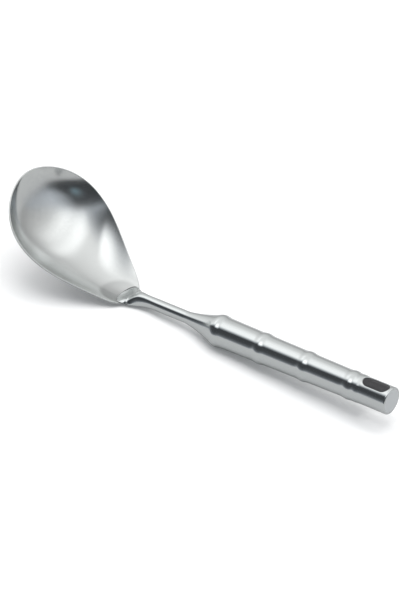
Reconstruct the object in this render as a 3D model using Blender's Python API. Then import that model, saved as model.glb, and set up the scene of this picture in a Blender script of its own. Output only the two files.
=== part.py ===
# Stainless serving spoon for rice: a shallow pressed bowl, a forged neck rod, and a
# hollow grip with rolled bamboo rings and a slot to hang it by.
#
# Frame: +X from the butt of the grip to the tip of the bowl, +Z up, the spoon lying
# on its two resting points (under the bowl's tail and under the shoulder ring).
# Lengths below are millimetres; vertices are written in metres.

import math

import bpy
import bmesh
import numpy as np

for stale in list(bpy.data.objects):
    bpy.data.objects.remove(stale, do_unlink=True)

MM = 0.001
GAP = 0.3                    # clearance kept between neighbouring pieces

# ---------------------------------------------------------------- driving dimensions
# grip (axial distances are measured along its axis from the shoulder ring, butt < 0)
GRIP_TILT = math.radians(4.5)      # the butt rises this much from the table
RING_PITCH = 30.65                 # spacing of the four rolled rings
BUTT_AT = -117.96                  # outer face of the butt
GRIP_R_FRONT = 9.30                # tube radius at the shoulder ring
GRIP_R_REAR = 8.03                 # tube radius from the last ring to the butt
WALL = 1.0                         # tube wall
RING_H = 0.60                      # height of a rolled ring over the tube
RING_HALF = 3.9                    # half length of a rolled ring
RIDGE_H = 0.28                     # low second ridge behind the last ring
RIDGE_BACK = 5.6
SLOT_W = 8.0                       # hanging slot, through both walls
SLOT_FRONT = -99.6
SLOT_REAR = -116.4
CAP_T = 1.0

# shoulder cone and neck rod
TUBE_FRONT = 0.9                   # front end of the ringed tube
CONE_REAR = TUBE_FRONT + GAP
CONE_NOSE = 25.5                   # small end of the cone
ROD_FRONT = CONE_NOSE + GAP        # where the full rod diameter starts
ROD_R = 3.70
SHANK_R = 2.75                     # reduced shank inside the cone's nose
SHANK_END = 12.0
SPIGOT_R = GRIP_R_FRONT - WALL - GAP
SPIGOT_END = -3.0

# bowl: chord from tail to tip, seen from the side
BOWL_TAIL = (66.03, 1.20)          # x from the shoulder ring, z over the table
BOWL_LEN = 99.57
BOWL_RISE = math.radians(35.78)    # slope of the chord
BOWL_DEPTH = 20.0                  # deepest point of the middle line under the chord
RIM_SAG = 4.61                     # the rim dips this far under the chord
BOWL_HALF_W = 35.3
BOWL_WIDEST = 63.82                # distance of the widest place from the tail
FLANK_AT = (14.7, 17.45)           # straight flank near the tail
FLANK_ANGLE = math.radians(26.75)
WALL_TAIL = 1.5                    # steepness of the sides near the tail,
WALL_MIDDLE = 2.3                  # in the middle
WALL_TIP = 3.6                     # and near the tip; 2 is a parabola
SHEET = 1.0                        # sheet thickness
RIM_ROUND = 0.3                    # the rim is ground round by this much

# flattened mouth of the neck, welded over the bowl's tail
MOUTH_START = 47.2
MOUTH_CORNER = 69.2
MOUTH_APEX = 75.2
MOUTH_HALF_W = 8.8
CROWN_START = 58.0                 # from here the top of the neck falls to the lip
FAN_START, FAN_FULL = 52.0, 66.0   # the round bar turns into a fan with bevelled sides
LIP_T = 0.8
EDGE_T = 0.8                       # thickness of the fan's side edges
SEAT_GAP = 0.45                    # mouth over the bowl's inner face
STEP_Z = 1.05                      # underside of the mouth behind the bowl's tail edge


# ---------------------------------------------------------------- helpers
def smooth01(t):
    t = min(1.0, max(0.0, t))
    return t * t * (3.0 - 2.0 * t)


def bump(t):
    """Raised cosine, 1 at t = 0 and 0 from |t| = 1 on."""
    return 0.5 + 0.5 * math.cos(math.pi * t) if abs(t) < 1.0 else 0.0


def bezier(p0, p1, p2, p3, t):
    s = 1.0 - t
    return tuple(s ** 3 * a + 3 * s * s * t * b + 3 * s * t * t * c + t ** 3 * d
                 for a, b, c, d in zip(p0, p1, p2, p3))


SHOULDER_Z = (GRIP_R_FRONT + RING_H) * math.cos(GRIP_TILT)   # ring rests on the table


def grip_point(a, y, n):
    """Grip frame (axial, sideways, up square to the axis) to the table frame."""
    return (a * math.cos(GRIP_TILT) + n * math.sin(GRIP_TILT), y,
            SHOULDER_Z - a * math.sin(GRIP_TILT) + n * math.cos(GRIP_TILT))


root = bpy.data.objects.new("spoon_origin", None)
bpy.context.scene.collection.objects.link(root)


def steel(name, colour, rough):
    mat = bpy.data.materials.new(name)
    mat.use_nodes = True
    bsdf = mat.node_tree.nodes["Principled BSDF"]
    bsdf.inputs["Base Color"].default_value = (*colour, 1.0)
    bsdf.inputs["Metallic"].default_value = 1.0
    bsdf.inputs["Roughness"].default_value = rough
    return mat


def add_piece(name, verts, faces, mat, sharp=40.0):
    mesh = bpy.data.meshes.new(name)
    mesh.from_pydata([(x * MM, y * MM, z * MM) for x, y, z in verts], [], faces)
    bm = bmesh.new()
    bm.from_mesh(mesh)
    bmesh.ops.recalc_face_normals(bm, faces=bm.faces)
    bm.to_mesh(mesh)
    bm.free()
    mesh.materials.append(mat)
    mesh.shade_smooth()
    mesh.set_sharp_from_angle(angle=math.radians(sharp))
    ob = bpy.data.objects.new(name, mesh)
    ob.parent = root
    bpy.context.scene.collection.objects.link(ob)
    return ob


def turned(profile, segments):
    """Closed (axial, radius) profile turned about the grip's axis."""
    verts, faces = [], []
    count = len(profile)
    for k in range(segments):
        ang = 2 * math.pi * (k + 0.5) / segments
        for a, r in profile:
            verts.append(grip_point(a, r * math.cos(ang), r * math.sin(ang)))
    for k in range(segments):
        nk = (k + 1) % segments
        for i in range(count):
            j = (i + 1) % count
            faces.append((k * count + i, k * count + j, nk * count + j, nk * count + i))
    return verts, faces


def lofted(loops):
    """Skin closed loops of equal length and close both ends with a fan."""
    n = len(loops[0])
    verts = [p for loop in loops for p in loop]
    faces = []
    for i in range(len(loops) - 1):
        for k in range(n):
            m = (k + 1) % n
            faces.append((i * n + k, i * n + m, (i + 1) * n + m, (i + 1) * n + k))
    for base in (0, (len(loops) - 1) * n):
        centre = tuple(sum(verts[base + k][c] for k in range(n)) / n for c in range(3))
        verts.append(centre)
        for k in range(n):
            faces.append((base + k, base + (k + 1) % n, len(verts) - 1))
    return verts, faces


# ---------------------------------------------------------------- bowl surface
def half_outline(samples):
    """Half of the bowl's outline in the chord plane, tip to tail."""
    cosf, sinf = math.cos(FLANK_ANGLE), math.sin(FLANK_ANGLE)
    fu, fw = FLANK_AT
    wide = (BOWL_WIDEST, BOWL_HALF_W)
    parts = (
        ((BOWL_LEN, 0.0), (BOWL_LEN, 14.5), (BOWL_WIDEST + 22.6, BOWL_HALF_W), wide),
        (wide, (BOWL_WIDEST - 15.8, BOWL_HALF_W), (fu + 22.8 * cosf, fw + 22.8 * sinf), FLANK_AT),
        (FLANK_AT, (fu - 7.7 * cosf, fw - 7.7 * sinf), (0.0, 10.0), (0.0, 0.0)),
    )
    points = []
    for number, part in enumerate(parts):
        steps = samples[number]
        for i in range(steps + (1 if number == 2 else 0)):
            points.append(bezier(*part, i / steps))
    return points


_table = np.array(half_outline((200, 200, 200)))[::-1]
ARC_R = ((BOWL_LEN / 2) ** 2 + BOWL_DEPTH ** 2) / (2 * BOWL_DEPTH)


def mid_sag(u):
    u = min(max(u, 0.0), BOWL_LEN)
    return math.sqrt(ARC_R ** 2 - (u - BOWL_LEN / 2) ** 2) - math.sqrt(ARC_R ** 2 - (BOWL_LEN / 2) ** 2)


def rim_sag(u):
    return 4 * RIM_SAG * u * (BOWL_LEN - u) / BOWL_LEN ** 2


def half_width(u):
    u = min(max(u, 0.6), BOWL_LEN - 0.6)
    return float(np.interp(u, _table[:, 0], _table[:, 1]))


def wall_steepness(u):
    """Slope of a cross-section at the rim, as a multiple of its depth over its half width."""
    t = u / BOWL_LEN
    return (WALL_TAIL + (WALL_MIDDLE - WALL_TAIL) * smooth01((t - 0.12) / 0.40)
            + (WALL_TIP - WALL_MIDDLE) * smooth01((t - 0.50) / 0.40))


def bowl_h(u, y):
    m = wall_steepness(u)
    r = abs(y) / half_width(u)
    q = min(r, 1.0) ** 2
    k = (2.0 - m / 2) * q + (m / 2 - 1.0) * q * q + m * max(r - 1.0, 0.0)
    return -mid_sag(u) + (mid_sag(u) - rim_sag(u)) * k


def bowl_normal(u, y):
    du, dy = 0.05, 0.05
    hu = (bowl_h(min(u + du, BOWL_LEN), y) - bowl_h(max(u - du, 0.0), y)) / (
        min(u + du, BOWL_LEN) - max(u - du, 0.0))
    hy = (bowl_h(u, y + dy) - bowl_h(u, y - dy)) / (2 * dy)
    length = math.sqrt(hu * hu + hy * hy + 1.0)
    return (-hu / length, -hy / length, 1.0 / length)


CB, SB = math.cos(BOWL_RISE), math.sin(BOWL_RISE)


def chord_point(u, y, h):
    return (BOWL_TAIL[0] + u * CB - h * SB, y, BOWL_TAIL[1] + u * SB + h * CB)


def bowl_inner_z(x, y):
    """Height of the bowl's inner face over the table at (x, y)."""
    u, h = (x - BOWL_TAIL[0]) / CB, 0.0
    for _ in range(30):
        h = bowl_h(u, y)
        u = (x - BOWL_TAIL[0] + h * SB) / CB
    u = max(u, 0.0)
    nu, ny, nh = bowl_normal(u, y)
    return BOWL_TAIL[1] + u * SB + bowl_h(u, y) * CB + 0.5 * SHEET / (nu * SB + nh * CB)


def build_bowl(mat):
    half = half_outline((11, 10, 8))
    outline = half + [(u, -y) for u, y in reversed(half[1:-1])]
    around = len(outline)
    centre_u = 50.0
    levels = [0.14, 0.30, 0.45, 0.59, 0.72, 0.84, 0.93, 1.0]
    half_t = 0.5 * SHEET
    inner, outer = [], []
    for s in levels:
        for bu, by in outline:
            shrink = s * (1.0 - RIM_ROUND / math.hypot(bu - centre_u, by))
            u, y = centre_u + shrink * (bu - centre_u), shrink * by
            h = bowl_h(u, y)
            nu, ny, nh = bowl_normal(u, y)
            inner.append(chord_point(u + half_t * nu, y + half_t * ny, h + half_t * nh))
            outer.append(chord_point(u - half_t * nu, y - half_t * ny, h - half_t * nh))
    edge = [chord_point(bu, by, bowl_h(bu, by)) for bu, by in outline]
    h0 = bowl_h(centre_u, 0.0)
    nu, ny, nh = bowl_normal(centre_u, 0.0)
    verts = inner + outer + edge
    ci = len(verts)
    verts.append(chord_point(centre_u + half_t * nu, 0.0, h0 + half_t * nh))
    verts.append(chord_point(centre_u - half_t * nu, 0.0, h0 - half_t * nh))
    faces = []
    n_in = len(inner)
    last = (len(levels) - 1) * around
    for k in range(around):
        m = (k + 1) % around
        faces.append((ci, k, m))
        faces.append((ci + 1, n_in + m, n_in + k))
        for j in range(len(levels) - 1):
            a, b = j * around, (j + 1) * around
            faces.append((a + k, b + k, b + m, a + m))
            faces.append((n_in + a + m, n_in + b + m, n_in + b + k, n_in + a + k))
        faces.append((last + k, 2 * n_in + k, 2 * n_in + m, last + m))
        faces.append((2 * n_in + k, n_in + last + k, n_in + last + m, 2 * n_in + m))
    return add_piece("bowl", verts, faces, mat)


# ---------------------------------------------------------------- neck rod
def mouth_half_width(x):
    if x <= MOUTH_CORNER:
        t = min(1.0, max(0.0, (x - MOUTH_START) / (MOUTH_CORNER - MOUTH_START)))
        return ROD_R + (MOUTH_HALF_W - ROD_R) * t ** 1.6
    t = (x - MOUTH_CORNER) / (MOUTH_APEX - MOUTH_CORNER)
    return MOUTH_HALF_W * math.sqrt(max(0.0, 1.0 - t * t))


def tail_edge_x(y):
    """Where the bowl's tail edge lies at a given distance from the middle."""
    return BOWL_TAIL[0] + CB * float(np.interp(abs(y), _table[:150, 1], _table[:150, 0]))


def rod_section(a, radius, sides):
    """One closed loop of the rod; past MOUTH_START it flattens into the mouth."""
    x0 = a * math.cos(GRIP_TILT)
    blend = smooth01((x0 - MOUTH_START) / (MOUTH_CORNER - 2.0 - MOUTH_START))
    half = mouth_half_width(x0)
    axis_z = SHOULDER_Z - a * math.sin(GRIP_TILT)
    top_line = (axis_z + ROD_R) + (bowl_inner_z(MOUTH_APEX, 0.0) + SEAT_GAP + LIP_T
                                   - axis_z - ROD_R) * smooth01((x0 - CROWN_START) / (MOUTH_APEX - CROWN_START))
    seat_mid = bowl_inner_z(x0, 0.0) + SEAT_GAP
    fan = smooth01((x0 - FAN_START) / (FAN_FULL - FAN_START))
    loop = []
    for k in range(sides):
        ang = 2 * math.pi * (k + 0.5) / sides
        c, s = math.cos(ang), math.sin(ang)
        px, py, pz = grip_point(a, radius * c, radius * s)
        if blend > 0.0:
            y = half * c
            seat = bowl_inner_z(x0, y) + SEAT_GAP
            if s >= 0.0:
                bevel = (1.0 - abs(c) ** (2.0 + 1.5 * fan)) ** (0.5 + 0.5 * fan)
                z = seat + 0.5 * EDGE_T + (top_line - seat_mid - 0.5 * EDGE_T) * bevel
            else:
                z = seat + 0.5 * EDGE_T * (1.0 - (-s) ** 0.5)
                lap = smooth01((x0 - tail_edge_x(y) + 3.6) / 1.6)
                z -= (seat - STEP_Z) * (1.0 - lap) * (-s) ** 0.5
            px += (x0 - px) * blend
            py += (y - py) * blend
            pz += (z - pz) * blend
        loop.append((px, py, pz))
    return loop


def build_rod(mat):
    sides = 28
    loops = [rod_section(SHANK_END, SHANK_R, sides), rod_section(ROD_FRONT, SHANK_R, sides),
             rod_section(ROD_FRONT, ROD_R, sides)]
    stops = [31.5, 39.5, MOUTH_START]
    stops += [MOUTH_START + (MOUTH_CORNER - MOUTH_START) * i / 11 for i in range(1, 12)]
    stops += [MOUTH_CORNER + (MOUTH_APEX - MOUTH_CORNER) * math.sin(math.radians(t))
              for t in (14, 28, 42, 56, 68, 78)]
    loops += [rod_section(x / math.cos(GRIP_TILT), ROD_R, sides) for x in stops]
    return add_piece("neck_rod", *lofted(loops), mat)


# ---------------------------------------------------------------- welds
def bead(name, path, radius, mat, sides=8):
    """Round bead of weld metal along a path, tapered at its two ends."""
    loops = []
    last = len(path) - 1
    for i, p in enumerate(path):
        q0, q1 = path[max(0, i - 1)], path[min(last, i + 1)]
        d = np.array(q1) - np.array(q0)
        d /= np.linalg.norm(d)
        side = np.cross(d, (0.0, 0.0, 1.0))
        side /= np.linalg.norm(side)
        up = np.cross(side, d)
        r = radius * (0.45 if i in (0, last) else 1.0)
        loops.append([tuple(np.array(p) + r * (math.cos(t) * side + math.sin(t) * up))
                      for t in (2 * math.pi * k / sides for k in range(sides))])
    return add_piece(name, *lofted(loops), mat)


def build_welds(mat):
    r = 0.55
    lip = []
    for i in range(17):
        t = math.radians(-80 + 160 * i / 16)
        x = MOUTH_CORNER + (MOUTH_APEX - MOUTH_CORNER + GAP + r + 0.15) * math.cos(t)
        y = (MOUTH_HALF_W + GAP + r + 0.15) * math.sin(t)
        lip.append((x, y, bowl_inner_z(x, y) + r + 0.42))
    bead("lip_weld", lip, r, mat)
    tail = []
    for i in range(13):
        y = -6.6 + 13.2 * i / 12
        tail.append((tail_edge_x(y) - 0.95, y, BOWL_TAIL[1] + 0.003 * y * y))
    bead("tail_weld", tail, 0.52, mat)


# ---------------------------------------------------------------- shoulder cone
def cone_r(a):
    t = 25.0 - a
    r = ROD_R + (0.108 * t + 0.0065 * t * t if t > 0 else 0.0)
    return r - (0.05 * (3.0 - a) ** 2 if a < 3.0 else 0.0)


def build_cone(mat):
    outer = [(CONE_NOSE, ROD_R)] + [(a, cone_r(a)) for a in
                                    (24.5, 22.5, 20.0, 17.5, 15.0, 12.5, 10.0, 8.0, 6.0, 4.5, 3.2, 2.2, CONE_REAR)]
    inner = [(CONE_REAR, SPIGOT_R), (SPIGOT_END, SPIGOT_R), (SPIGOT_END, SPIGOT_R - 1.0), (6.2, SPIGOT_R - 1.0)]
    inner += [(a, cone_r(a) - 1.0) for a in (9.0, 12.0, 15.0)]
    inner += [(19.0, SHANK_R + GAP), (CONE_NOSE, SHANK_R + GAP)]
    return add_piece("shoulder_cone", *turned(outer + inner, 36), mat)


# ---------------------------------------------------------------- ringed grip tube
def tube_base(a):
    t = min(1.0, max(0.0, -a / (3 * RING_PITCH)))
    return GRIP_R_FRONT + (GRIP_R_REAR - GRIP_R_FRONT) * t


def tube_r(a):
    r = tube_base(a)
    r += RING_H * bump((a - 0.3) / RING_HALF)
    for i in (1, 2, 3):
        r += RING_H * bump((a + i * RING_PITCH) / RING_HALF)
    return r + RIDGE_H * bump((a + 3 * RING_PITCH + RIDGE_BACK) / 2.6)


def build_tube(mat):
    stations = [TUBE_FRONT, 0.0]
    for i in range(4):
        centre = -i * RING_PITCH
        for off in ((-1.2, -2.4, -3.8) if i == 0 else (3.8, 2.4, 1.2, 0.0, -1.2, -2.4, -3.8)):
            stations.append(centre + off)
    stations += [-3 * RING_PITCH - b for b in (RIDGE_BACK, RIDGE_BACK + 1.3, RIDGE_BACK + 2.6)]
    last = BUTT_AT + 0.6
    stations += [last]
    outer = [(a, tube_r(a)) for a in sorted(set(stations), reverse=True)]
    outer += [(BUTT_AT + 0.18, tube_r(last) - 0.16), (BUTT_AT, tube_r(last) - 0.5)]
    inner = [(a, tube_base(a) - WALL) for a in (BUTT_AT, -3 * RING_PITCH, -46.0, TUBE_FRONT)]
    tube = add_piece("grip_tube", *turned(outer + inner, 36), mat)
    # oval cutter square to the grip's axis
    half = SLOT_W / 2
    ends = (SLOT_FRONT - half, SLOT_REAR + half)
    loops = [[], []]
    for k in range(28):
        ang = 2 * math.pi * (k + 0.5) / 28
        a = (ends[0] if math.cos(ang) > 0 else ends[1]) + half * math.cos(ang)
        for level, n in ((0, -14.0), (1, 14.0)):
            loops[level].append(grip_point(a, half * math.sin(ang), n))
    cutter = add_piece("slot_cutter", *lofted(loops), mat)
    cutter.hide_render = True
    cutter.display_type = 'WIRE'
    cut = tube.modifiers.new("hanging_slot", 'BOOLEAN')
    cut.operation = 'DIFFERENCE'
    cut.solver = 'EXACT'
    cut.object = cutter
    return tube


def build_cap(mat):
    r = GRIP_R_REAR - WALL - GAP
    loops = [[grip_point(a, rr * math.cos(t), rr * math.sin(t))
              for t in (2 * math.pi * (k + 0.5) / 36 for k in range(36))]
             for a, rr in ((BUTT_AT, r), (BUTT_AT + CAP_T, r))]
    return add_piece("end_cap", *lofted(loops), mat)


# ---------------------------------------------------------------- assembly
satin = steel("satin_steel", (0.60, 0.60, 0.60), 0.30)
polished = steel("polished_steel", (0.64, 0.64, 0.65), 0.16)
weld = steel("weld_steel", (0.52, 0.51, 0.50), 0.35)

build_bowl(satin)
build_rod(steel("neck_steel", (0.63, 0.63, 0.64), 0.16))
build_welds(weld)
build_cone(steel("shoulder_steel", (0.63, 0.63, 0.64), 0.16))
build_tube(polished)
build_cap(steel("cap_steel", (0.62, 0.62, 0.63), 0.20))

# centre the spoon on its footprint and set it down on the table
bpy.context.view_layer.update()
graph = bpy.context.evaluated_depsgraph_get()
low, high = np.full(3, 1e9), np.full(3, -1e9)
for ob in bpy.context.scene.objects:
    if ob.type == 'MESH' and not ob.hide_render:
        for v in ob.evaluated_get(graph).data.vertices:
            p = np.array(ob.matrix_world @ v.co)
            low, high = np.minimum(low, p), np.maximum(high, p)
root.location = (-(low[0] + high[0]) / 2, -(low[1] + high[1]) / 2, -low[2])
bpy.context.view_layer.update()
print("offset", tuple(root.location), "size", tuple(high - low))
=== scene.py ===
import math

import bpy
import numpy as np
from mathutils import Matrix


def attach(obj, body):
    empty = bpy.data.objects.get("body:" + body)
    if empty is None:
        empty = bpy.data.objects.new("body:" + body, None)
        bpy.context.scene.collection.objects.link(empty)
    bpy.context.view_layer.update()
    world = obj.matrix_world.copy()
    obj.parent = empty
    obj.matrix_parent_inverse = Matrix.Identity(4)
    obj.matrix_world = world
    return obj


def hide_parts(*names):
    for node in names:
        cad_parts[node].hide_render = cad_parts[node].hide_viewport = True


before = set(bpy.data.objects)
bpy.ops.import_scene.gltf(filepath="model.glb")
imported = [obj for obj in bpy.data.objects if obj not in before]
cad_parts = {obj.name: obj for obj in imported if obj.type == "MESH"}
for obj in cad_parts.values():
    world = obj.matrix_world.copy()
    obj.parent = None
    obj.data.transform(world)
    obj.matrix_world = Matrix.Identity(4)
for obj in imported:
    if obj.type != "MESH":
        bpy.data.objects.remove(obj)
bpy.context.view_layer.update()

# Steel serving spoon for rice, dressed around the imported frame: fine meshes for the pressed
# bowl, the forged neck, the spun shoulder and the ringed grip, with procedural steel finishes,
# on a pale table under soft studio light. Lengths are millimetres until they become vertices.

MM = 0.001
SHIFT = (-14.519, 0.0, 0.0)          # shoulder-ring frame to the part's frame

# ---------------------------------------------------------------- dimensions
TILT = math.radians(4.5)
CT, ST = math.cos(TILT), math.sin(TILT)
RING_PITCH = 30.65
BUTT_AT = -117.96
GRIP_R_FRONT, GRIP_R_REAR, WALL = 9.30, 8.03, 1.0
RING_H, RING_HALF = 0.60, 3.9
RIDGE_H, RIDGE_BACK = 0.28, 5.6
SLOT_W, SLOT_FRONT, SLOT_REAR = 8.0, -99.6, -116.4
SEAM_AT = 1.05                          # cone and tube meet here
NOSE_AT = 25.65                         # cone and neck meet here
ROD_R = 3.70
SHOULDER_Z = (GRIP_R_FRONT + RING_H) * CT

TAIL_X, TAIL_Z = 66.03, 1.20
BOWL_LEN = 99.56
RISE = math.radians(35.78)
CB, SB = math.cos(RISE), math.sin(RISE)
BOWL_DEPTH, RIM_SAG = 20.0, 4.61
HALF_W, WIDEST = 35.19, 63.82
FLANK_AT, FLANK_ANGLE = (14.7, 17.45), math.radians(26.75)
SHEET, RIM_ROUND = 1.0, 0.3
WALL_TAIL, WALL_MIDDLE, WALL_TIP = 1.5, 2.3, 3.6   # steepness of the bowl's sides

MOUTH_START, MOUTH_CORNER, MOUTH_APEX = 47.2, 69.2, 75.2
MOUTH_HALF_W, CROWN_START = 8.8, 58.0
FAN_START, FAN_FULL = 52.0, 66.0         # round bar to bevelled fan
LIP_T, EDGE_T, SEAT_GAP, STEP_Z = 0.6, 0.4, 0.12, 1.05


# ---------------------------------------------------------------- helpers
def smooth01(t):
    t = np.clip(t, 0.0, 1.0)
    return t * t * (3.0 - 2.0 * t)


def bump(t):
    t = np.asarray(t, dtype=float)
    return np.where(np.abs(t) < 1.0, 0.5 + 0.5 * np.cos(np.pi * np.clip(t, -1, 1)), 0.0)


def bezier(p0, p1, p2, p3, t):
    p0, p1, p2, p3 = (np.array(p, dtype=float) for p in (p0, p1, p2, p3))
    t = np.asarray(t, dtype=float)[:, None]
    s = 1.0 - t
    return s ** 3 * p0 + 3 * s * s * t * p1 + 3 * s * t * t * p2 + t ** 3 * p3


def grip_point(a, y, n):
    """Grip frame (axial, sideways, up square to the axis) to the shoulder-ring frame."""
    return (a * CT + n * ST, y, SHOULDER_Z - a * ST + n * CT)


def grip_dir(a, y, n):
    return (a * CT + n * ST, y, -a * ST + n * CT)


def add_piece(name, verts, faces, normals=None, flat=False):
    """Mesh object in the part's frame; normals is {vertex: direction} for exact shading."""
    pts = (np.array(verts, dtype=float) + np.array(SHIFT)) * MM
    mesh = bpy.data.meshes.new(name)
    mesh.from_pydata(pts.tolist(), [], faces)
    mesh.update()
    if flat:
        mesh.shade_flat()
    else:
        mesh.shade_smooth()
    if normals:
        base = np.zeros(len(mesh.vertices) * 3, dtype=np.float32)
        mesh.vertices.foreach_get("normal", base)
        base = base.reshape(-1, 3)
        for i, d in normals.items():
            d = np.array(d, dtype=float)
            base[i] = d / np.linalg.norm(d)
        mesh.normals_split_custom_set_from_vertices(base.tolist())
    ob = bpy.data.objects.new(name, mesh)
    bpy.context.scene.collection.objects.link(ob)
    return ob


def bridge(faces, a, b):
    """Quads between two closed index loops of equal length."""
    n = len(a)
    for k in range(n):
        m = (k + 1) % n
        faces.append((a[k], a[m], b[m], b[k]))


# ---------------------------------------------------------------- turned profile of the grip
def raw_radius(a):
    t = np.clip(-a / (3 * RING_PITCH), 0.0, 1.0)
    tube = GRIP_R_FRONT + (GRIP_R_REAR - GRIP_R_FRONT) * t
    tube = tube + RING_H * bump((a - 0.3) / RING_HALF)
    for i in (1, 2, 3):
        tube = tube + RING_H * bump((a + i * RING_PITCH) / RING_HALF)
    tube = tube + RIDGE_H * bump((a + 3 * RING_PITCH + RIDGE_BACK) / 2.6)
    t = np.maximum(25.0 - a, 0.0)
    cone = ROD_R + 0.108 * t + 0.0065 * t * t - 0.05 * np.maximum(3.0 - a, 0.0) ** 2
    return np.where(a < SEAM_AT, tube, cone)


STEP = 0.05
_axis = np.arange(BUTT_AT - 6.0, 62.0, STEP)
_raw = raw_radius(_axis)
_kernel = np.exp(-0.5 * (np.arange(-80, 81) * STEP / 0.75) ** 2)
_kernel /= _kernel.sum()
_soft = np.convolve(np.pad(_raw, 80, mode="edge"), _kernel, mode="valid")
_slope = np.gradient(_soft, STEP)


def radius(a):
    return np.interp(a, _axis, _soft)


def slope(a):
    return np.interp(a, _axis, _slope)


def skin(a, ang):
    """Point and normal of the turned skin; ang runs from the top round towards +Y."""
    r, s = float(radius(a)), float(slope(a))
    sy, cy = math.sin(ang), math.cos(ang)
    return grip_point(a, r * sy, r * cy), grip_dir(-s, sy, cy)


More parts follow.
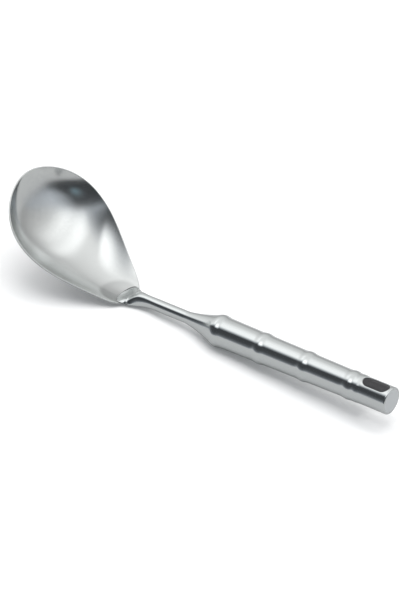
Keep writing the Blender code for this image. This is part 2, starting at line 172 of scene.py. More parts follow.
# ---------------------------------------------------------------- grip tube with its slot
def build_tube():
    segs, reach = 128, 20
    verts, faces, normals = [], [], {}

    def put(p, nrm=None):
        verts.append(p)
        if nrm is not None:
            normals[len(verts) - 1] = nrm
        return len(verts) - 1

    patch_front, patch_rear, rows = -96.8, -117.15, 44
    lead = np.linspace(SEAM_AT, patch_front, 190)
    block = np.linspace(patch_front, patch_rear, rows + 1)
    stations = np.concatenate([lead[:-1], block])
    first = len(lead) - 1
    corner = 0.6                         # round of the butt's edge
    lip = [(BUTT_AT + corner * (1 - math.cos(t)), corner * (1 - math.sin(t)))
           for t in np.radians((75, 60, 45, 30, 15, 0))]
    flat_r = 6.9                         # where the end disc sits

    def ring_out(a):
        out = []
        for j in range(segs):
            p, nrm = skin(a, 2 * math.pi * j / segs)
            out.append(put(p, nrm))
        return out

    def ring_at(a, r, nrm=None):
        out = []
        for j in range(segs):
            ang = 2 * math.pi * j / segs
            p = grip_point(a, r * math.sin(ang), r * math.cos(ang))
            d = None
            if nrm is not None:
                d = grip_dir(nrm[0], nrm[1] * math.sin(ang), nrm[1] * math.cos(ang))
            out.append(put(p, d))
        return out

    def inner_r(a):
        t = min(1.0, max(0.0, -a / (3 * RING_PITCH)))
        return GRIP_R_FRONT + (GRIP_R_REAR - GRIP_R_FRONT) * t - WALL

    outer = [ring_out(a) for a in stations]
    edge = []
    r_end = float(radius(BUTT_AT + corner))
    for (a, drop), t in zip(lip, np.radians((75, 60, 45, 30, 15, 0))):
        edge.append(ring_at(a, r_end - drop, (-math.cos(t), math.sin(t))))
    face = ring_at(BUTT_AT, flat_r, (-1.0, 0.0))
    inner = [ring_at(a, inner_r(a)) for a in stations]
    inner_end = ring_at(BUTT_AT, inner_r(BUTT_AT))

    # the two openings of the slot, top and bottom, each a ring-shaped patch in the grid
    half = SLOT_W / 2
    ends = (SLOT_FRONT - half, SLOT_REAR + half)
    straight = ends[0] - ends[1]
    arc45 = half * math.pi / 4

    def outline(side, t):
        """Point (a, y) of the slot's outline; side 0 +Y, 1 rear, 2 -Y, 3 front."""
        if side in (0, 2):
            total = straight + 2 * arc45
            d = t * total
            if d < arc45:
                ang = math.pi / 4 + d / half
                a, y = ends[0] + half * math.cos(ang), half * math.sin(ang)
            elif d < arc45 + straight:
                a, y = ends[0] - (d - arc45), half
            else:
                ang = math.pi / 2 + (d - arc45 - straight) / half
                a, y = ends[1] + half * math.cos(ang), half * math.sin(ang)
            if side == 2:
                a, y = ends[0] + ends[1] - a, -y
        else:
            ang = 3 * math.pi / 4 + t * math.pi / 2
            a, y = ends[1] + half * math.cos(ang), half * math.sin(ang)
            if side == 3:
                a, y = ends[0] + ends[1] - a, -y
        return a, y

    for flip in (0, segs // 2):
        base_ang = 0.0 if flip == 0 else math.pi
        loop = []                        # (row, seg, slot point) around the patch
        for i in range(rows):
            loop.append((i, reach, outline(0, i / rows)))
        for j in range(2 * reach):
            loop.append((rows, reach - j, outline(1, j / (2 * reach))))
        for i in range(rows):
            loop.append((rows - i, -reach, outline(2, i / rows)))
        for j in range(2 * reach):
            loop.append((0, -reach + j, outline(3, j / (2 * reach))))
        round_r = 0.35
        rolls = [0.0, 0.03, 0.09, 0.18, 0.27, 0.35]
        fills = [0.12, 0.28, 0.46, 0.64, 0.82]
        rim_rings = []
        for level in range(len(rolls) + len(fills)):
            ring = []
            for i, j, (sa, sy) in loop:
                oa, oang = block[i], 2 * math.pi * j / segs
                r0 = float(radius(sa))
                iang = math.asin(sy / r0)
                run = math.hypot(oa - sa, (oang - iang) * r0)
                w = rolls[level] / run if level < len(rolls) else (
                    round_r / run + (1 - round_r / run) * fills[level - len(rolls)])
                a, ang = sa + (oa - sa) * w, iang + (oang - iang) * w
                p, nrm = skin(a, ang + base_ang)
                if level < len(rolls):
                    back = round_r - rolls[level]
                    drop = round_r - math.sqrt(max(0.0, round_r ** 2 - back ** 2))
                    tilt = back / round_r
                    r = float(radius(a)) - drop
                    p = grip_point(a, r * math.sin(ang + base_ang), r * math.cos(ang + base_ang))
                    lean = np.array(grip_dir(-(oa - sa) / run, 0, 0)) + np.array(grip_dir(
                        0, -(oang - iang) * r0 / run * math.cos(ang + base_ang),
                        (oang - iang) * r0 / run * math.sin(ang + base_ang)))
                    nrm = np.array(nrm) * math.sqrt(max(0.0, 1 - tilt * tilt)) + lean * tilt
                ring.append(put(p, nrm))
            rim_rings.append(ring)
        sign = 1 if flip == 0 else -1
        wall_in = []
        for i, j, (sa, sy) in loop:
            r = inner_r(sa)
            wall_in.append(put(grip_point(sa, sign * sy, sign * math.sqrt(r * r - sy * sy))))
        mid = []
        for i, j, (sa, sy) in loop:
            r = inner_r(sa)
            oa, oang = block[i], 2 * math.pi * j / segs
            iang = math.asin(sy / r)
            a, ang = (sa + oa) / 2, (iang + oang) / 2 + base_ang
            rr = inner_r(a)
            mid.append(put(grip_point(a, rr * math.sin(ang), rr * math.cos(ang))))
        outer_loop = [outer[first + i][(flip + j) % segs] for i, j, _ in loop]
        inner_loop = [inner[first + i][(flip + j) % segs] for i, j, _ in loop]
        chain = [outer_loop] + rim_rings[::-1] + [wall_in, mid, inner_loop]
        for a, b in zip(chain[:-1], chain[1:]):
            bridge(faces, a, b)

    def in_patch(i, j):
        if i < first:
            return False
        for flip in (0, segs // 2):
            k = (j - flip + segs // 2) % segs - segs // 2
            if -reach <= k < reach:
                return True
        return False

    for i in range(len(stations) - 1):
        for j in range(segs):
            if in_patch(i, j):
                continue
            m = (j + 1) % segs
            faces.append((outer[i][j], outer[i][m], outer[i + 1][m], outer[i + 1][j]))
            faces.append((inner[i][j], inner[i + 1][j], inner[i + 1][m], inner[i][m]))
    tail = [outer[-1]] + edge + [face, inner_end, inner[-1]]
    for a, b in zip(tail[:-1], tail[1:]):
        bridge(faces, a, b)
    bridge(faces, inner[0], outer[0])
    return add_piece("grip_shell", verts, faces, normals)


def build_cap():
    segs = 96
    verts, faces, normals = [], [], {}
    rings = []
    for a, rr, nrm in ((BUTT_AT, 2.2, -1), (BUTT_AT, 4.5, -1), (BUTT_AT, 6.86, -1),
                       (BUTT_AT + 0.05, 6.89, None), (BUTT_AT + 1.0, 6.89, None)):
        ring = []
        for j in range(segs):
            ang = 2 * math.pi * j / segs
            verts.append(grip_point(a, rr * math.sin(ang), rr * math.cos(ang)))
            ring.append(len(verts) - 1)
            if nrm:
                normals[len(verts) - 1] = grip_dir(-1.0, 0.0, 0.0)
        rings.append(ring)
    verts.append(grip_point(BUTT_AT, 0.0, 0.0))
    hub = len(verts) - 1
    normals[hub] = grip_dir(-1.0, 0.0, 0.0)
    verts.append(grip_point(BUTT_AT + 1.0, 0.0, 0.0))
    back = len(verts) - 1
    for a, b in zip(rings[:-1], rings[1:]):
        bridge(faces, b, a)
    for k in range(segs):
        m = (k + 1) % segs
        faces.append((hub, rings[0][k], rings[0][m]))
        faces.append((back, rings[-1][m], rings[-1][k]))
    return add_piece("butt_disc", verts, faces, normals)


# ---------------------------------------------------------------- shoulder cone
def build_cone():
    segs = 128
    verts, faces, normals = [], [], {}
    rings = []
    for a in np.linspace(NOSE_AT, SEAM_AT, 70):
        ring = []
        for j in range(segs):
            p, nrm = skin(a, 2 * math.pi * j / segs)
            verts.append(p)
            normals[len(verts) - 1] = nrm
            ring.append(len(verts) - 1)
        rings.append(ring)
    inner = [(SEAM_AT, 8.0), (-3.0, 8.0), (-3.0, 7.0), (6.2, 7.0)]
    inner += [(a, float(radius(a)) - 1.0) for a in (9.0, 12.0, 15.0)]
    inner += [(19.0, 3.05), (NOSE_AT, 3.05)]
    for a, r in inner:
        ring = []
        for j in range(segs):
            ang = 2 * math.pi * j / segs
            verts.append(grip_point(a, r * math.sin(ang), r * math.cos(ang)))
            ring.append(len(verts) - 1)
        rings.append(ring)
    for a, b in zip(rings, rings[1:] + rings[:1]):
        bridge(faces, a, b)
    return add_piece("shoulder_flare", verts, faces, normals)


# ---------------------------------------------------------------- bowl
def half_outline(count):
    fu, fw = FLANK_AT
    cf, sf = math.cos(FLANK_ANGLE), math.sin(FLANK_ANGLE)
    wide = (WIDEST, HALF_W)
    t = np.linspace(0, 1, 400)
    line = np.vstack([
        bezier((BOWL_LEN, 0), (BOWL_LEN, 14.5), (WIDEST + 22.6, HALF_W), wide, t)[:-1],
        bezier(wide, (WIDEST - 15.8, HALF_W), (fu + 22.8 * cf, fw + 22.8 * sf), FLANK_AT, t)[:-1],
        bezier(FLANK_AT, (fu - 7.7 * cf, fw - 7.7 * sf), (0, 10.0), (0, 0), t)])
    run = np.concatenate([[0], np.cumsum(np.hypot(*np.diff(line, axis=0).T))])
    s = np.linspace(0, run[-1], count)
    return np.stack([np.interp(s, run, line[:, 0]), np.interp(s, run, line[:, 1])], 1)


_half = half_outline(1200)[::-1]
ARC_R = ((BOWL_LEN / 2) ** 2 + BOWL_DEPTH ** 2) / (2 * BOWL_DEPTH)


def mid_sag(u):
    u = np.clip(u, 0.0, BOWL_LEN)
    return np.sqrt(ARC_R ** 2 - (u - BOWL_LEN / 2) ** 2) - math.sqrt(ARC_R ** 2 - (BOWL_LEN / 2) ** 2)


def rim_sag(u):
    return 4 * RIM_SAG * u * (BOWL_LEN - u) / BOWL_LEN ** 2


_us = np.linspace(0.5, BOWL_LEN - 0.5, 500)
_wfit = np.polynomial.Chebyshev.fit(
    _us, np.interp(_us, _half[:, 0], _half[:, 1]) ** 2 / (_us * (BOWL_LEN - _us)), 13)


def half_width(u):
    u = np.clip(u, 0.5, BOWL_LEN - 0.5)
    return np.sqrt(u * (BOWL_LEN - u) * _wfit(u))


def wall_steepness(u):
    """Slope of a cross-section at the rim, as a multiple of its depth over its half width."""
    t = u / BOWL_LEN
    return (WALL_TAIL + (WALL_MIDDLE - WALL_TAIL) * smooth01((t - 0.12) / 0.40)
            + (WALL_TIP - WALL_MIDDLE) * smooth01((t - 0.50) / 0.40))


def bowl_h(u, y):
    m = wall_steepness(u)
    r = np.abs(y) / half_width(u)
    q = np.minimum(r, 1.0) ** 2
    k = (2.0 - m / 2) * q + (m / 2 - 1.0) * q * q + m * np.maximum(r - 1.0, 0.0)
    return -mid_sag(u) + (mid_sag(u) - rim_sag(u)) * k


def bowl_normal(u, y):
    e = 0.05
    u0, u1 = np.maximum(u - e, 0.0), np.minimum(u + e, BOWL_LEN)
    hu = (bowl_h(u1, y) - bowl_h(u0, y)) / (u1 - u0)
    hy = (bowl_h(u, y + e) - bowl_h(u, y - e)) / (2 * e)
    n = np.sqrt(hu * hu + hy * hy + 1.0)
    return -hu / n, -hy / n, 1.0 / n


def chord_point(u, y, h):
    return (TAIL_X + u * CB - h * SB, y, TAIL_Z + u * SB + h * CB)


def bowl_inner_z(x, y):
    """Height of the bowl's inner face over the table."""
    u, h = (x - TAIL_X) / CB, 0.0
    for _ in range(30):
        h = bowl_h(u, y)
        u = (x - TAIL_X + h * SB) / CB
    u = np.maximum(u, 0.0)
    nu, ny, nh = bowl_normal(u, y)
    return TAIL_Z + u * SB + bowl_h(u, y) * CB + 0.5 * SHEET / (nu * SB + nh * CB)


def build_bowl():
    half = half_outline(121)
    line = np.vstack([half, half[-2:0:-1] * [1, -1]])
    around = len(line)
    cu = 50.0
    steps = np.concatenate([[0.02], np.linspace(0.06, 0.94, 42), np.linspace(0.955, 1.0, 6)])
    verts, faces, normals = [], [], {}
    half_t = 0.5 * SHEET

    def ring(s, side):
        out = []
        for bu, by in line:
            shrink = s * (1.0 - RIM_ROUND / math.hypot(bu - cu, by))
            u, y = cu + shrink * (bu - cu), shrink * by
            nu, ny, nh = (float(c) for c in bowl_normal(u, y))
            h = float(bowl_h(u, y))
            verts.append(chord_point(u + side * half_t * nu, y + side * half_t * ny, h + side * half_t * nh))
            out.append(len(verts) - 1)
            normals[len(verts) - 1] = (side * (nu * CB - nh * SB), side * ny, side * (nu * SB + nh * CB))
        return out

    inner = [ring(s, 1.0) for s in steps]
    rim = []
    for t in np.radians((60, 30, 0, -30, -60)):
        loop = []
        for bu, by in line:
            length = math.hypot(bu - cu, by)
            shrink = 1.0 - RIM_ROUND * (1.0 - math.cos(t)) / length
            u, y = cu + shrink * (bu - cu), shrink * by
            nu, ny, nh = (float(c) for c in bowl_normal(u, y))
            h = float(bowl_h(u, y))
            k = half_t * math.sin(t)
            verts.append(chord_point(u + k * nu, y + k * ny, h + k * nh))
            loop.append(len(verts) - 1)
        rim.append(loop)
    outer = [ring(s, -1.0) for s in steps[::-1]]
    chain = inner + rim + outer
    for a, b in zip(chain[:-1], chain[1:]):
        bridge(faces, b, a)
    for side, loop in ((1.0, inner[0]), (-1.0, outer[-1])):
        nu, ny, nh = (float(c) for c in bowl_normal(cu, 0.0))
        h = float(bowl_h(cu, 0.0))
        verts.append(chord_point(cu + side * half_t * nu, 0.0, h + side * half_t * nh))
        hub = len(verts) - 1
        normals[hub] = (side * (nu * CB - nh * SB), 0.0, side * (nu * SB + nh * CB))
        for k in range(around):
            m = (k + 1) % around
            faces.append((hub, loop[m], loop[k]) if side < 0 else (hub, loop[k], loop[m]))
    return add_piece("bowl_shell", verts, faces, normals)


# ---------------------------------------------------------------- neck
def mouth_half_width(x):
    if x <= MOUTH_CORNER:
        t = min(1.0, max(0.0, (x - MOUTH_START) / (MOUTH_CORNER - MOUTH_START)))
        return ROD_R + (MOUTH_HALF_W - ROD_R) * t ** 1.6
    t = (x - MOUTH_CORNER) / (MOUTH_APEX - MOUTH_CORNER)
    return MOUTH_HALF_W * math.sqrt(max(0.0, 1.0 - t * t))


def tail_edge_x(y):
    return TAIL_X + CB * float(np.interp(abs(y), _half[:300, 1], _half[:300, 0]))


def rod_section(x0, sides):
    a = x0 / CT
    blend = float(smooth01((x0 - MOUTH_START) / (MOUTH_CORNER - 2.0 - MOUTH_START)))
    half = mouth_half_width(x0)
    axis_z = SHOULDER_Z - a * ST
    apex_z = float(bowl_inner_z(MOUTH_APEX, 0.0)) + SEAT_GAP + LIP_T
    top = axis_z + ROD_R
    top += (apex_z - top) * float(smooth01((x0 - CROWN_START) / (MOUTH_APEX - CROWN_START)))
    seat0 = float(bowl_inner_z(x0, 0.0)) + SEAT_GAP
    fan = float(smooth01((x0 - FAN_START) / (FAN_FULL - FAN_START)))
    loop = []
    for k in range(sides):
        ang = 2 * math.pi * (k + 0.5) / sides
        c, s = math.cos(ang), math.sin(ang)
        px, py, pz = grip_point(a, ROD_R * c, ROD_R * s)
        if blend > 0.0:
            y = half * c
            seat = float(bowl_inner_z(x0, y)) + SEAT_GAP
            if s >= 0.0:
                bevel = (1.0 - abs(c) ** (2.0 + 1.5 * fan)) ** (0.5 + 0.5 * fan)
                z = seat + 0.5 * EDGE_T + (top - seat0 - 0.5 * EDGE_T) * bevel
            else:
                z = seat + 0.5 * EDGE_T * (1.0 - (-s) ** 0.5)
                lap = float(smooth01((x0 - tail_edge_x(y) + 3.6) / 1.6))
                z -= (seat - STEP_Z) * (1.0 - lap) * (-s) ** 0.5
            px += (x0 - px) * blend
            py += (y - py) * blend
            pz += (z - pz) * blend
        loop.append((px, py, pz))
    return loop


def build_rod():
    sides = 80
    verts, faces, normals = [], [], {}
    rings = []

    def put(loop):
        ring = []
        for p in loop:
            verts.append(p)
            ring.append(len(verts) - 1)
        rings.append(ring)
        return ring

    for a, r in ((12.0, 2.75), (NOSE_AT - 0.3, 2.75), (NOSE_AT - 0.3, ROD_R - 0.4)):
        put([grip_point(a, r * math.cos(t), r * math.sin(t))
             for t in (2 * math.pi * (k + 0.5) / sides for k in range(sides))])
    for x in np.linspace(NOSE_AT * CT, MOUTH_START, 30):
        ring = put(rod_section(float(x), sides))
        for k, i in enumerate(ring):
            t = 2 * math.pi * (k + 0.5) / sides
            normals[i] = grip_dir(0.0, math.cos(t), math.sin(t))
    for x in np.linspace(MOUTH_START, MOUTH_CORNER, 60)[1:]:
        put(rod_section(float(x), sides))
    for t in np.radians(np.linspace(4, 86, 26)):
        put(rod_section(float(MOUTH_CORNER + (MOUTH_APEX - MOUTH_CORNER) * math.sin(t)), sides))
    for a, b in zip(rings[:-1], rings[1:]):
        bridge(faces, a, b)
    for ring, turn in ((rings[0], True), (rings[-1], False)):
        verts.append(tuple(np.mean([verts[i] for i in ring], axis=0)))
        hub = len(verts) - 1
        for k in range(sides):
            m = (k + 1) % sides
            faces.append((hub, ring[m], ring[k]) if turn else (hub, ring[k], ring[m]))
    return add_piece("neck_bar", verts, faces, normals)


def bead(name, path, r_wide, r_high, sides=16):
    """Weld metal along a path, tapered at its two ends."""
    verts, faces, rings = [], [], []
    last = len(path) - 1
    pts = np.array(path)
    for i, p in enumerate(pts):
        d = pts[min(last, i + 1)] - pts[max(0, i - 1)]
        d /= np.linalg.norm(d)
        side = np.cross(d, (0.0, 0.0, 1.0))
        side /= np.linalg.norm(side)
        up = np.cross(side, d)
        taper = math.sin(math.pi * min(1.0, (0.4 + min(i, last - i)) / 5.0) / 2)
        ring = []
        for k in range(sides):
            t = 2 * math.pi * k / sides
            verts.append(tuple(p + taper * (r_wide * math.cos(t) * side + r_high * math.sin(t) * up)))
            ring.append(len(verts) - 1)
        rings.append(ring)
    for a, b in zip(rings[:-1], rings[1:]):
        bridge(faces, b, a)
    for ring, turn in ((rings[0], False), (rings[-1], True)):
        verts.append(tuple(np.mean([verts[i] for i in ring], axis=0)))
        hub = len(verts) - 1
        for k in range(sides):
            m = (k + 1) % sides
            faces.append((hub, ring[m], ring[k]) if turn else (hub, ring[k], ring[m]))
    return add_piece(name, verts, faces)


def build_welds():
    lip = []
    for t in np.radians(np.linspace(-82, 82, 61)):
        x = MOUTH_CORNER + (MOUTH_APEX - MOUTH_CORNER + 0.12) * math.cos(t)
        y = (MOUTH_HALF_W + 0.12) * math.sin(t)
        lip.append((x, y, float(bowl_inner_z(x, y)) + 0.1))
    tail = []
    for y in np.linspace(-6.6, 6.6, 41):
        tail.append((tail_edge_x(y) - 0.55, y, TAIL_Z + 0.003 * y * y))
    return bead("lip_fillet", lip, 0.50, 0.36), bead("tail_seam", tail, 0.75, 0.55)


# ---------------------------------------------------------------- finishes
def steel(name, colour, rough, spread, grain_scale, grain_depth, stretch=(1.0, 1.0, 1.0), tint=0.02, centre=None,
          painted_shade_oval=None):
    """Procedural steel: fine directional grain, drifting gloss and a faint shift of tone; with the last argument,
    a painted shade patch round the weld and a painted lift of tone up the near wall.
    """
    mat = bpy.data.materials.new(name)
    mat.use_nodes = True
    tree = mat.node_tree
    bsdf = tree.nodes["Principled BSDF"]
    bsdf.inputs["Metallic"].default_value = 1.0
    coord = tree.nodes.new("ShaderNodeTexCoord")
    stretchy = tree.nodes.new("ShaderNodeMapping")
    stretchy.inputs["Scale"].default_value = stretch
    if centre is None:
        tree.links.new(coord.outputs["Object"], stretchy.inputs["Vector"])
    else:
        # brushed in rounds about the centre: grain along the angle, sheen drawn out across it
        about = tree.nodes.new("ShaderNodeMapping")
        about.inputs["Location"].default_value = (-0.87 * centre[0], -centre[1], 0.0)
        about.inputs["Scale"].default_value = (0.87, 1.0, 0.0)
        polar = tree.nodes.new("ShaderNodeVectorMath")
        polar.operation = 'LENGTH'
        parts = tree.nodes.new("ShaderNodeSeparateXYZ")
        turn = tree.nodes.new("ShaderNodeMath")
        turn.operation = 'ARCTAN2'
        rounds = tree.nodes.new("ShaderNodeCombineXYZ")
        tree.links.new(coord.outputs["Object"], about.inputs["Vector"])
        tree.links.new(about.outputs["Vector"], polar.inputs[0])
        tree.links.new(about.outputs["Vector"], parts.inputs[0])
        tree.links.new(parts.outputs["Y"], turn.inputs[0])
        tree.links.new(parts.outputs["X"], turn.inputs[1])
        tree.links.new(polar.outputs["Value"], rounds.inputs["X"])
        tree.links.new(turn.outputs[0], rounds.inputs["Y"])
        tree.links.new(rounds.outputs["Vector"], stretchy.inputs["Vector"])
        lay = tree.nodes.new("ShaderNodeTangent")
        lay.direction_type = 'RADIAL'
        lay.axis = 'Z'
        tree.links.new(lay.outputs["Tangent"], bsdf.inputs["Tangent"])
        bsdf.inputs["Anisotropic"].default_value = 0.25
        bsdf.inputs["Anisotropic Rotation"].default_value = 0.25
    drift = tree.nodes.new("ShaderNodeTexNoise")
    drift.inputs["Scale"].default_value = 45.0
    drift.inputs["Detail"].default_value = 3.0
    tree.links.new(coord.outputs["Object"], drift.inputs["Vector"])
    grain = tree.nodes.new("ShaderNodeTexNoise")
    grain.inputs["Scale"].default_value = grain_scale
    grain.inputs["Detail"].default_value = 4.0
    grain.inputs["Roughness"].default_value = 0.6
    tree.links.new(stretchy.outputs["Vector"], grain.inputs["Vector"])
    gloss = tree.nodes.new("ShaderNodeMapRange")
    gloss.inputs["To Min"].default_value = rough - spread
    gloss.inputs["To Max"].default_value = rough + spread
    tree.links.new(drift.outputs["Fac"], gloss.inputs["Value"])
    tree.links.new(gloss.outputs["Result"], bsdf.inputs["Roughness"])
    tone = tree.nodes.new("ShaderNodeMix")
    tone.data_type = 'RGBA'
    low = [max(0.0, c - tint) for c in colour]
    high = [min(1.0, c + tint) for c in colour]
    tone.inputs["A"].default_value = (*low, 1.0)
    tone.inputs["B"].default_value = (*high, 1.0)
    tree.links.new(grain.outputs["Fac"], tone.inputs["Factor"])
    tree.links.new(tone.outputs["Result"], bsdf.inputs["Base Color"])
    if painted_shade_oval is not None:
        # painted shade: greyer oval patch round the weld, where the tail of the bowl should reflect dimmer
        cx, cy, rx, ry, shade = painted_shade_oval
        spot = tree.nodes.new("ShaderNodeMapping")
        spot.inputs["Location"].default_value = (-cx / rx, -cy / ry, 0.0)
        spot.inputs["Scale"].default_value = (1.0 / rx, 1.0 / ry, 0.0)
        off = tree.nodes.new("ShaderNodeVectorMath")
        off.operation = 'LENGTH'
        patch = tree.nodes.new("ShaderNodeMapRange")
        patch.interpolation_type = 'SMOOTHSTEP'
        patch.inputs["From Min"].default_value = 0.84
        patch.inputs["From Max"].default_value = 1.14
        patch.inputs["To Min"].default_value = 1.0
        patch.inputs["To Max"].default_value = 0.0
        shade_patch_mix = tree.nodes.new("ShaderNodeMix")
        shade_patch_mix.data_type = 'RGBA'
        shade_patch_mix.inputs["B"].default_value = (*(shade * c for c in colour), 1.0)
        tree.links.new(coord.outputs["Object"], spot.inputs["Vector"])
        tree.links.new(spot.outputs["Vector"], off.inputs[0])
        tree.links.new(off.outputs["Value"], patch.inputs["Value"])
        tree.links.new(patch.outputs["Result"], shade_patch_mix.inputs["Factor"])
        # painted reflection: tone lifted up the near wall, where the double reflection comes out too dark
        facing = tree.nodes.new("ShaderNodeSeparateXYZ")
        tree.links.new(coord.outputs["Normal"], facing.inputs[0])
        place = tree.nodes.new("ShaderNodeSeparateXYZ")
        tree.links.new(coord.outputs["Object"], place.inputs[0])
        masks = []
        for source, low_end, high_end in ((facing.outputs["Y"], -0.17, -0.40), (place.outputs["X"], 0.115, 0.088)):
            mask = tree.nodes.new("ShaderNodeMapRange")
            mask.interpolation_type = 'SMOOTHSTEP'
            mask.inputs["From Min"].default_value = low_end
            mask.inputs["From Max"].default_value = high_end
            tree.links.new(source, mask.inputs["Value"])
            masks.append(mask.outputs["Result"])
        both = tree.nodes.new("ShaderNodeMath")
        both.operation = 'MULTIPLY'
        tree.links.new(masks[0], both.inputs[0])
        tree.links.new(masks[1], both.inputs[1])
        painted_wall_lift = tree.nodes.new("ShaderNodeMix")
        painted_wall_lift.data_type = 'RGBA'
        painted_wall_lift.inputs["B"].default_value = (*(1.40 * c for c in colour), 1.0)
        tree.links.new(both.outputs[0], painted_wall_lift.inputs["Factor"])
        tree.links.new(tone.outputs["Result"], painted_wall_lift.inputs["A"])
        tree.links.new(painted_wall_lift.outputs["Result"], shade_patch_mix.inputs["A"])
        tree.links.new(shade_patch_mix.outputs["Result"], bsdf.inputs["Base Color"])
    dent = tree.nodes.new("ShaderNodeBump")
    dent.inputs["Strength"].default_value = 1.0
    dent.inputs["Distance"].default_value = grain_depth
    tree.links.new(grain.outputs["Fac"], dent.inputs["Height"])
    tree.links.new(dent.outputs["Normal"], bsdf.inputs["Normal"])
    return mat


# painted shade: the satin bowl's last tuple places a darker oval round the weld in the tail of the bowl
satin = steel("satin_steel_look", (0.540, 0.554, 0.550), 0.20, 0.035, 900.0, 0.0000012,
              (2.2, 0.010, 1.0), 0.05, (0.0915, 0.0), (0.0610, 0.001, 0.013, 0.0105, 0.77))
polish = steel("polished_steel_look", (0.537, 0.558, 0.558), 0.14, 0.03, 700.0, 0.0000006, (0.25, 3.0, 3.0))
neck_look = steel("neck_steel_look", (0.537, 0.558, 0.558), 0.13, 0.03, 700.0, 0.0000006, (0.25, 3.0, 3.0))
cap_look = steel("cap_steel_look", (0.556, 0.578, 0.590), 0.30, 0.04, 900.0, 0.0000010)
weld_look = steel("weld_steel_look", (0.45, 0.46, 0.46), 0.32, 0.06, 1200.0, 0.0000030)
# painted shadow: the weld beads dark on the far side, as the crease along the lip in shade, and bright on the near
# side
weld_tree = weld_look.node_tree
weld_at = weld_tree.nodes.new("ShaderNodeSeparateXYZ")
weld_tree.links.new(weld_tree.nodes["Texture Coordinate"].outputs["Object"], weld_at.inputs[0])
crease = weld_tree.nodes.new("ShaderNodeMapRange")
crease.interpolation_type = 'SMOOTHSTEP'
crease.inputs["From Min"].default_value = -0.0065
crease.inputs["From Max"].default_value = 0.0010
weld_tree.links.new(weld_at.outputs["Y"], crease.inputs["Value"])
painted_crease_shadow = weld_tree.nodes.new("ShaderNodeMix")
painted_crease_shadow.data_type = 'RGBA'
painted_crease_shadow.inputs["A"].default_value = (0.09, 0.09, 0.095, 1.0)
painted_crease_shadow.inputs["B"].default_value = (0.45, 0.46, 0.46, 1.0)
weld_tree.links.new(crease.outputs["Result"], painted_crease_shadow.inputs["Factor"])
weld_tree.links.new(painted_crease_shadow.outputs["Result"], weld_tree.nodes["Principled BSDF"].inputs["Base Color"])
# painted shade: the bore's steel is coloured dark for the shade inside the hollow grip
dark = steel("inside_steel_look", (0.155, 0.155, 0.158), 0.55, 0.08, 1200.0, 0.0000030)

bowl = build_bowl()
bowl.data.materials.append(satin)
neck = build_rod()
neck.data.materials.append(neck_look)
lip_fillet, tail_seam = build_welds()
lip_fillet.data.materials.append(weld_look)
tail_seam.data.materials.append(weld_look)
cone = build_cone()
cone.data.materials.append(polish)
tube = build_tube()
tube.data.materials.append(polish)
tube.data.materials.append(dark)
cap = build_cap()
cap.data.materials.append(cap_look)

# the bore of the grip takes the rough dull steel, coloured dark as painted shade inside the tube
axis_point = np.array(grip_point(0.0, 0.0, 0.0))
axis_way = np.array(grip_dir(1.0, 0.0, 0.0))
for poly in tube.data.polygons:
    p = np.array(poly.center) / MM - np.array(SHIFT)
    along = float((p - axis_point) @ axis_way)
    out = float(np.linalg.norm(p - axis_point - along * axis_way))
    if out < float(radius(along)) - 0.5 and along > BUTT_AT + 0.5:
        poly.material_index = 1

for piece, node, slot in ((bowl, "bowl", "satin_steel"), (neck, "neck_rod", "neck_steel"),
                          (lip_fillet, "lip_weld", "weld_steel"), (tail_seam, "tail_weld", "weld_steel"),
                          (cone, "shoulder_cone", "shoulder_steel"), (tube, "grip_tube", "polished_steel"),
                          (cap, "end_cap", "cap_steel")):
    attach(piece, "root")
    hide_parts(node)

# kept out of reflections: mirrored in the tip of the bowl they made a dark notch the real bowl doesn't show
tube.visible_glossy = False
cone.visible_glossy = False

# ---------------------------------------------------------------- table, light, camera
# the sheet's emission is a painted glow, fill light lifting the shadows on the table
def table_sheet(name, z, tone, shadow_fill_glow):
    mesh = bpy.data.meshes.new(name)
    mesh.from_pydata([(-3, -3, z), (3, -3, z), (3, 3, z), (-3, 3, z)], [], [(0, 1, 2, 3)])
    sheet = bpy.data.objects.new(name, mesh)
    bpy.context.scene.collection.objects.link(sheet)
    paper = bpy.data.materials.new(name + "_paper")
    paper.use_nodes = True
    bsdf = paper.node_tree.nodes["Principled BSDF"]
    bsdf.inputs["Base Color"].default_value = (tone, tone, tone, 1.0)
    bsdf.inputs["Roughness"].default_value = 0.9
    bsdf.inputs["Emission Color"].default_value = (0.97, 1.0, 1.02, 1.0)
    bsdf.inputs["Emission Strength"].default_value = shadow_fill_glow
    mesh.materials.append(paper)
    return sheet


# white to the eye, with a faint painted glow that lifts the shadows on it; a duller copy in the same place,
# glowing less, is what the steel mirrors, a painted reflection of the table
table_top = table_sheet("table_top", 0.0, 0.86, 0.13)
table_top.visible_glossy = False
table_dull = table_sheet("table_dull", 0.00002, 0.58, 0.06)
table_dull.visible_camera = False
table_dull.visible_diffuse = False
table_dull.visible_shadow = False

world = bpy.data.worlds.new("studio")
bpy.context.scene.world = world
world.use_nodes = True
wt = world.node_tree
wt.nodes.clear()


def math_node(op, a, b=None, c=None):
    node = wt.nodes.new("ShaderNodeMath")
    node.operation = op
    for k, v in enumerate((a, b, c)):
        if v is None:
            continue
        if isinstance(v, (int, float)):
            node.inputs[k].default_value = v
        else:
            wt.links.new(v, node.inputs[k])
    return node.outputs[0]


def ramp(value, low, high):
    node = wt.nodes.new("ShaderNodeMapRange")
    node.interpolation_type = 'SMOOTHSTEP'
    node.inputs["From Min"].default_value = low
    node.inputs["From Max"].default_value = high
    wt.links.new(value, node.inputs["Value"])
    return node.outputs["Result"]


coords = wt.nodes.new("ShaderNodeTexCoord")
split = wt.nodes.new("ShaderNodeSeparateXYZ")
wt.links.new(coords.outputs["Generated"], split.inputs[0])
dx, dy, dz = split.outputs
rise = math_node('MAXIMUM', dz, 0.02)
gx = math_node('DIVIDE', dx, rise)
gy = math_node('DIVIDE', dy, rise)


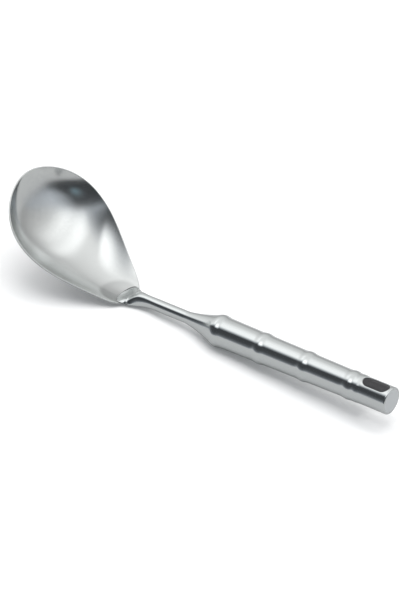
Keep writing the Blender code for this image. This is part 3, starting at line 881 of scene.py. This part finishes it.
def window(value, low, high, soft_low, soft_high):
    """1 between low and high, with smooth edges."""
    return math_node('MULTIPLY', ramp(value, low - soft_low, low + soft_low),
                     math_node('SUBTRACT', 1.0, ramp(value, high - soft_high, high + soft_high)))


def line_glow(value, half):
    t = math_node('DIVIDE', value, half)
    return math_node('EXPONENT', math_node('MULTIPLY', math_node('MULTIPLY', t, t), -1.0))


# grey walls and ceiling, soft boxes overhead, and the unlit room behind the camera
LEVEL, AMBIENT = 0.855, 0.90
fade = math_node('EXPONENT', math_node('DIVIDE', math_node('MINIMUM', gy, 0.0), 2.27))
light = math_node('MULTIPLY_ADD', fade, 0.93, 0.62)
box_a = math_node('MULTIPLY', window(gx, -1.45, -0.47, 0.66, 0.115), window(gy, -2.2, 0.47, 1.2, 0.10))
seam = line_glow(math_node('ADD', gx, 0.85), 0.17)
box_a = math_node('MULTIPLY', box_a, math_node('MULTIPLY_ADD', seam, -0.58, 1.0))
light = math_node('MULTIPLY_ADD', box_a, 0.94, light)
box_c = math_node('MULTIPLY', window(gx, 0.48, 1.1, 0.20, 0.30), window(gy, -0.5, 0.45, 0.4, 0.2))
light = math_node('MULTIPLY_ADD', box_c, 0.40, light)
edge_line = math_node('MINIMUM', math_node('MULTIPLY_ADD', gx, 1.008, 1.066), 0.49)
near = ramp(math_node('SUBTRACT', gy, edge_line), -0.31, 0.31)
flat = math_node('SQRT', math_node('ADD', math_node('MULTIPLY', dx, dx), math_node('MULTIPLY', dy, dy)))
bearing = math_node('DIVIDE', dy, math_node('MAXIMUM', flat, 0.001))
haze = math_node('EXPONENT', math_node('DIVIDE', math_node('MAXIMUM', dz, 0.0), -0.12))
haze = math_node('MULTIPLY', haze, ramp(dx, -0.3, 0.3))
room = math_node('MULTIPLY_ADD', haze, 0.55, 0.085)
# behind the grip: a dark strip over the table that rises to the near side, grey wall over it
low = math_node('MULTIPLY_ADD', math_node('POWER', math_node('MAXIMUM', math_node('MULTIPLY', bearing, -1.0), 0.0), 3.0), 1.6, 0.085)
high = math_node('MAXIMUM', math_node('MINIMUM', math_node('MULTIPLY_ADD', bearing, -1.08, 0.46),
                                      math_node('MULTIPLY_ADD', bearing, 2.0, 2.0)), 0.0)
lift = ramp(math_node('MULTIPLY_ADD', bearing, -0.6, dz), 0.29, 0.45)
side = math_node('ADD', low, math_node('MULTIPLY', lift, math_node('SUBTRACT', high, low)))
side = math_node('MULTIPLY', side, math_node('LESS_THAN', dx, 0.0))
room = math_node('MAXIMUM', room, side)
strip = line_glow(math_node('MULTIPLY_ADD', gy, -0.573, math_node('ADD', gx, 0.884)), 0.109)
strip = math_node('MULTIPLY', strip, math_node('SUBTRACT', 1.0, ramp(gy, 1.05, 1.5)))
room = math_node('MULTIPLY_ADD', strip, 1.02, room)
pane = math_node('MULTIPLY', line_glow(math_node('ADD', gx, 2.12), 0.62), line_glow(math_node('SUBTRACT', gy, 1.08), 0.40))
room = math_node('MULTIPLY_ADD', pane, 0.50, room)
light = math_node('ADD', light, math_node('MULTIPLY', near, math_node('SUBTRACT', room, light)))
box_b = math_node('MULTIPLY', window(gx, -0.018, 0.41, 0.06, 0.24), window(gy, -0.1, 0.71, 0.60, 0.20))
light = math_node('MAXIMUM', light, math_node('MULTIPLY', box_b, 2.60))
paths = wt.nodes.new("ShaderNodeLightPath")
light = math_node('MULTIPLY', light, LEVEL)
ambient = math_node('MULTIPLY_ADD', paths.outputs["Is Diffuse Ray"], AMBIENT - 1.0, 1.0)
light = math_node('MULTIPLY', light, ambient)
seen = math_node('ADD', light, math_node('MULTIPLY', paths.outputs["Is Camera Ray"], math_node('SUBTRACT', 0.95, light)))
tint = wt.nodes.new("ShaderNodeMix")
tint.data_type = 'RGBA'
tint.inputs["A"].default_value = (1.0, 1.0, 1.0, 1.0)
tint.inputs["B"].default_value = (0.94, 1.0, 1.08, 1.0)
wt.links.new(math_node('MULTIPLY', near, math_node('SUBTRACT', 1.0, box_b)), tint.inputs["Factor"])
back = wt.nodes.new("ShaderNodeBackground")
teal = wt.nodes.new("ShaderNodeMix")
teal.data_type = 'RGBA'
teal.inputs["B"].default_value = (0.62, 1.0, 1.16, 1.0)
wt.links.new(tint.outputs["Result"], teal.inputs["A"])
wt.links.new(pane, teal.inputs["Factor"])
wt.links.new(teal.outputs["Result"], back.inputs["Color"])
wt.links.new(seen, back.inputs["Strength"])
world_out = wt.nodes.new("ShaderNodeOutputWorld")
wt.links.new(back.outputs[0], world_out.inputs["Surface"])

lamp = bpy.data.lights.new("key", 'AREA')
lamp.shape = 'RECTANGLE'
lamp.size, lamp.size_y = 1.0, 0.9
lamp.energy = 8.9
key = bpy.data.objects.new("key", lamp)
key.location = (-0.03, 0.0, 1.3)
key.visible_glossy = False
key.visible_camera = False
bpy.context.scene.collection.objects.link(key)

CAM_AZ, CAM_EL = math.radians(37.76), math.radians(38.43)
right = np.array([-math.cos(CAM_AZ), -math.sin(CAM_AZ), 0.0])
upward = np.array([math.sin(CAM_AZ) * math.sin(CAM_EL), -math.cos(CAM_AZ) * math.sin(CAM_EL), math.cos(CAM_EL)])
toward = np.array([-math.sin(CAM_AZ) * math.cos(CAM_EL), math.cos(CAM_AZ) * math.cos(CAM_EL), math.sin(CAM_EL)])
eye = np.array([-559.388, 741.796, 759.792 + SHOULDER_Z]) + np.array(SHIFT)
lens = bpy.data.cameras.new("camera")
lens.sensor_width = 36.0
lens.lens = 36.0 * 2071.88 / 601.0
lens.clip_start = 0.05
lens.clip_end = 20.0
camera = bpy.data.objects.new("camera", lens)
pose = Matrix.Identity(4)
for row in range(3):
    pose[row][0], pose[row][1], pose[row][2] = right[row], upward[row], toward[row]
    pose[row][3] = eye[row] * MM
camera.matrix_world = pose
bpy.context.scene.collection.objects.link(camera)
bpy.context.scene.camera = camera
bpy.context.scene.view_settings.view_transform = 'Standard'
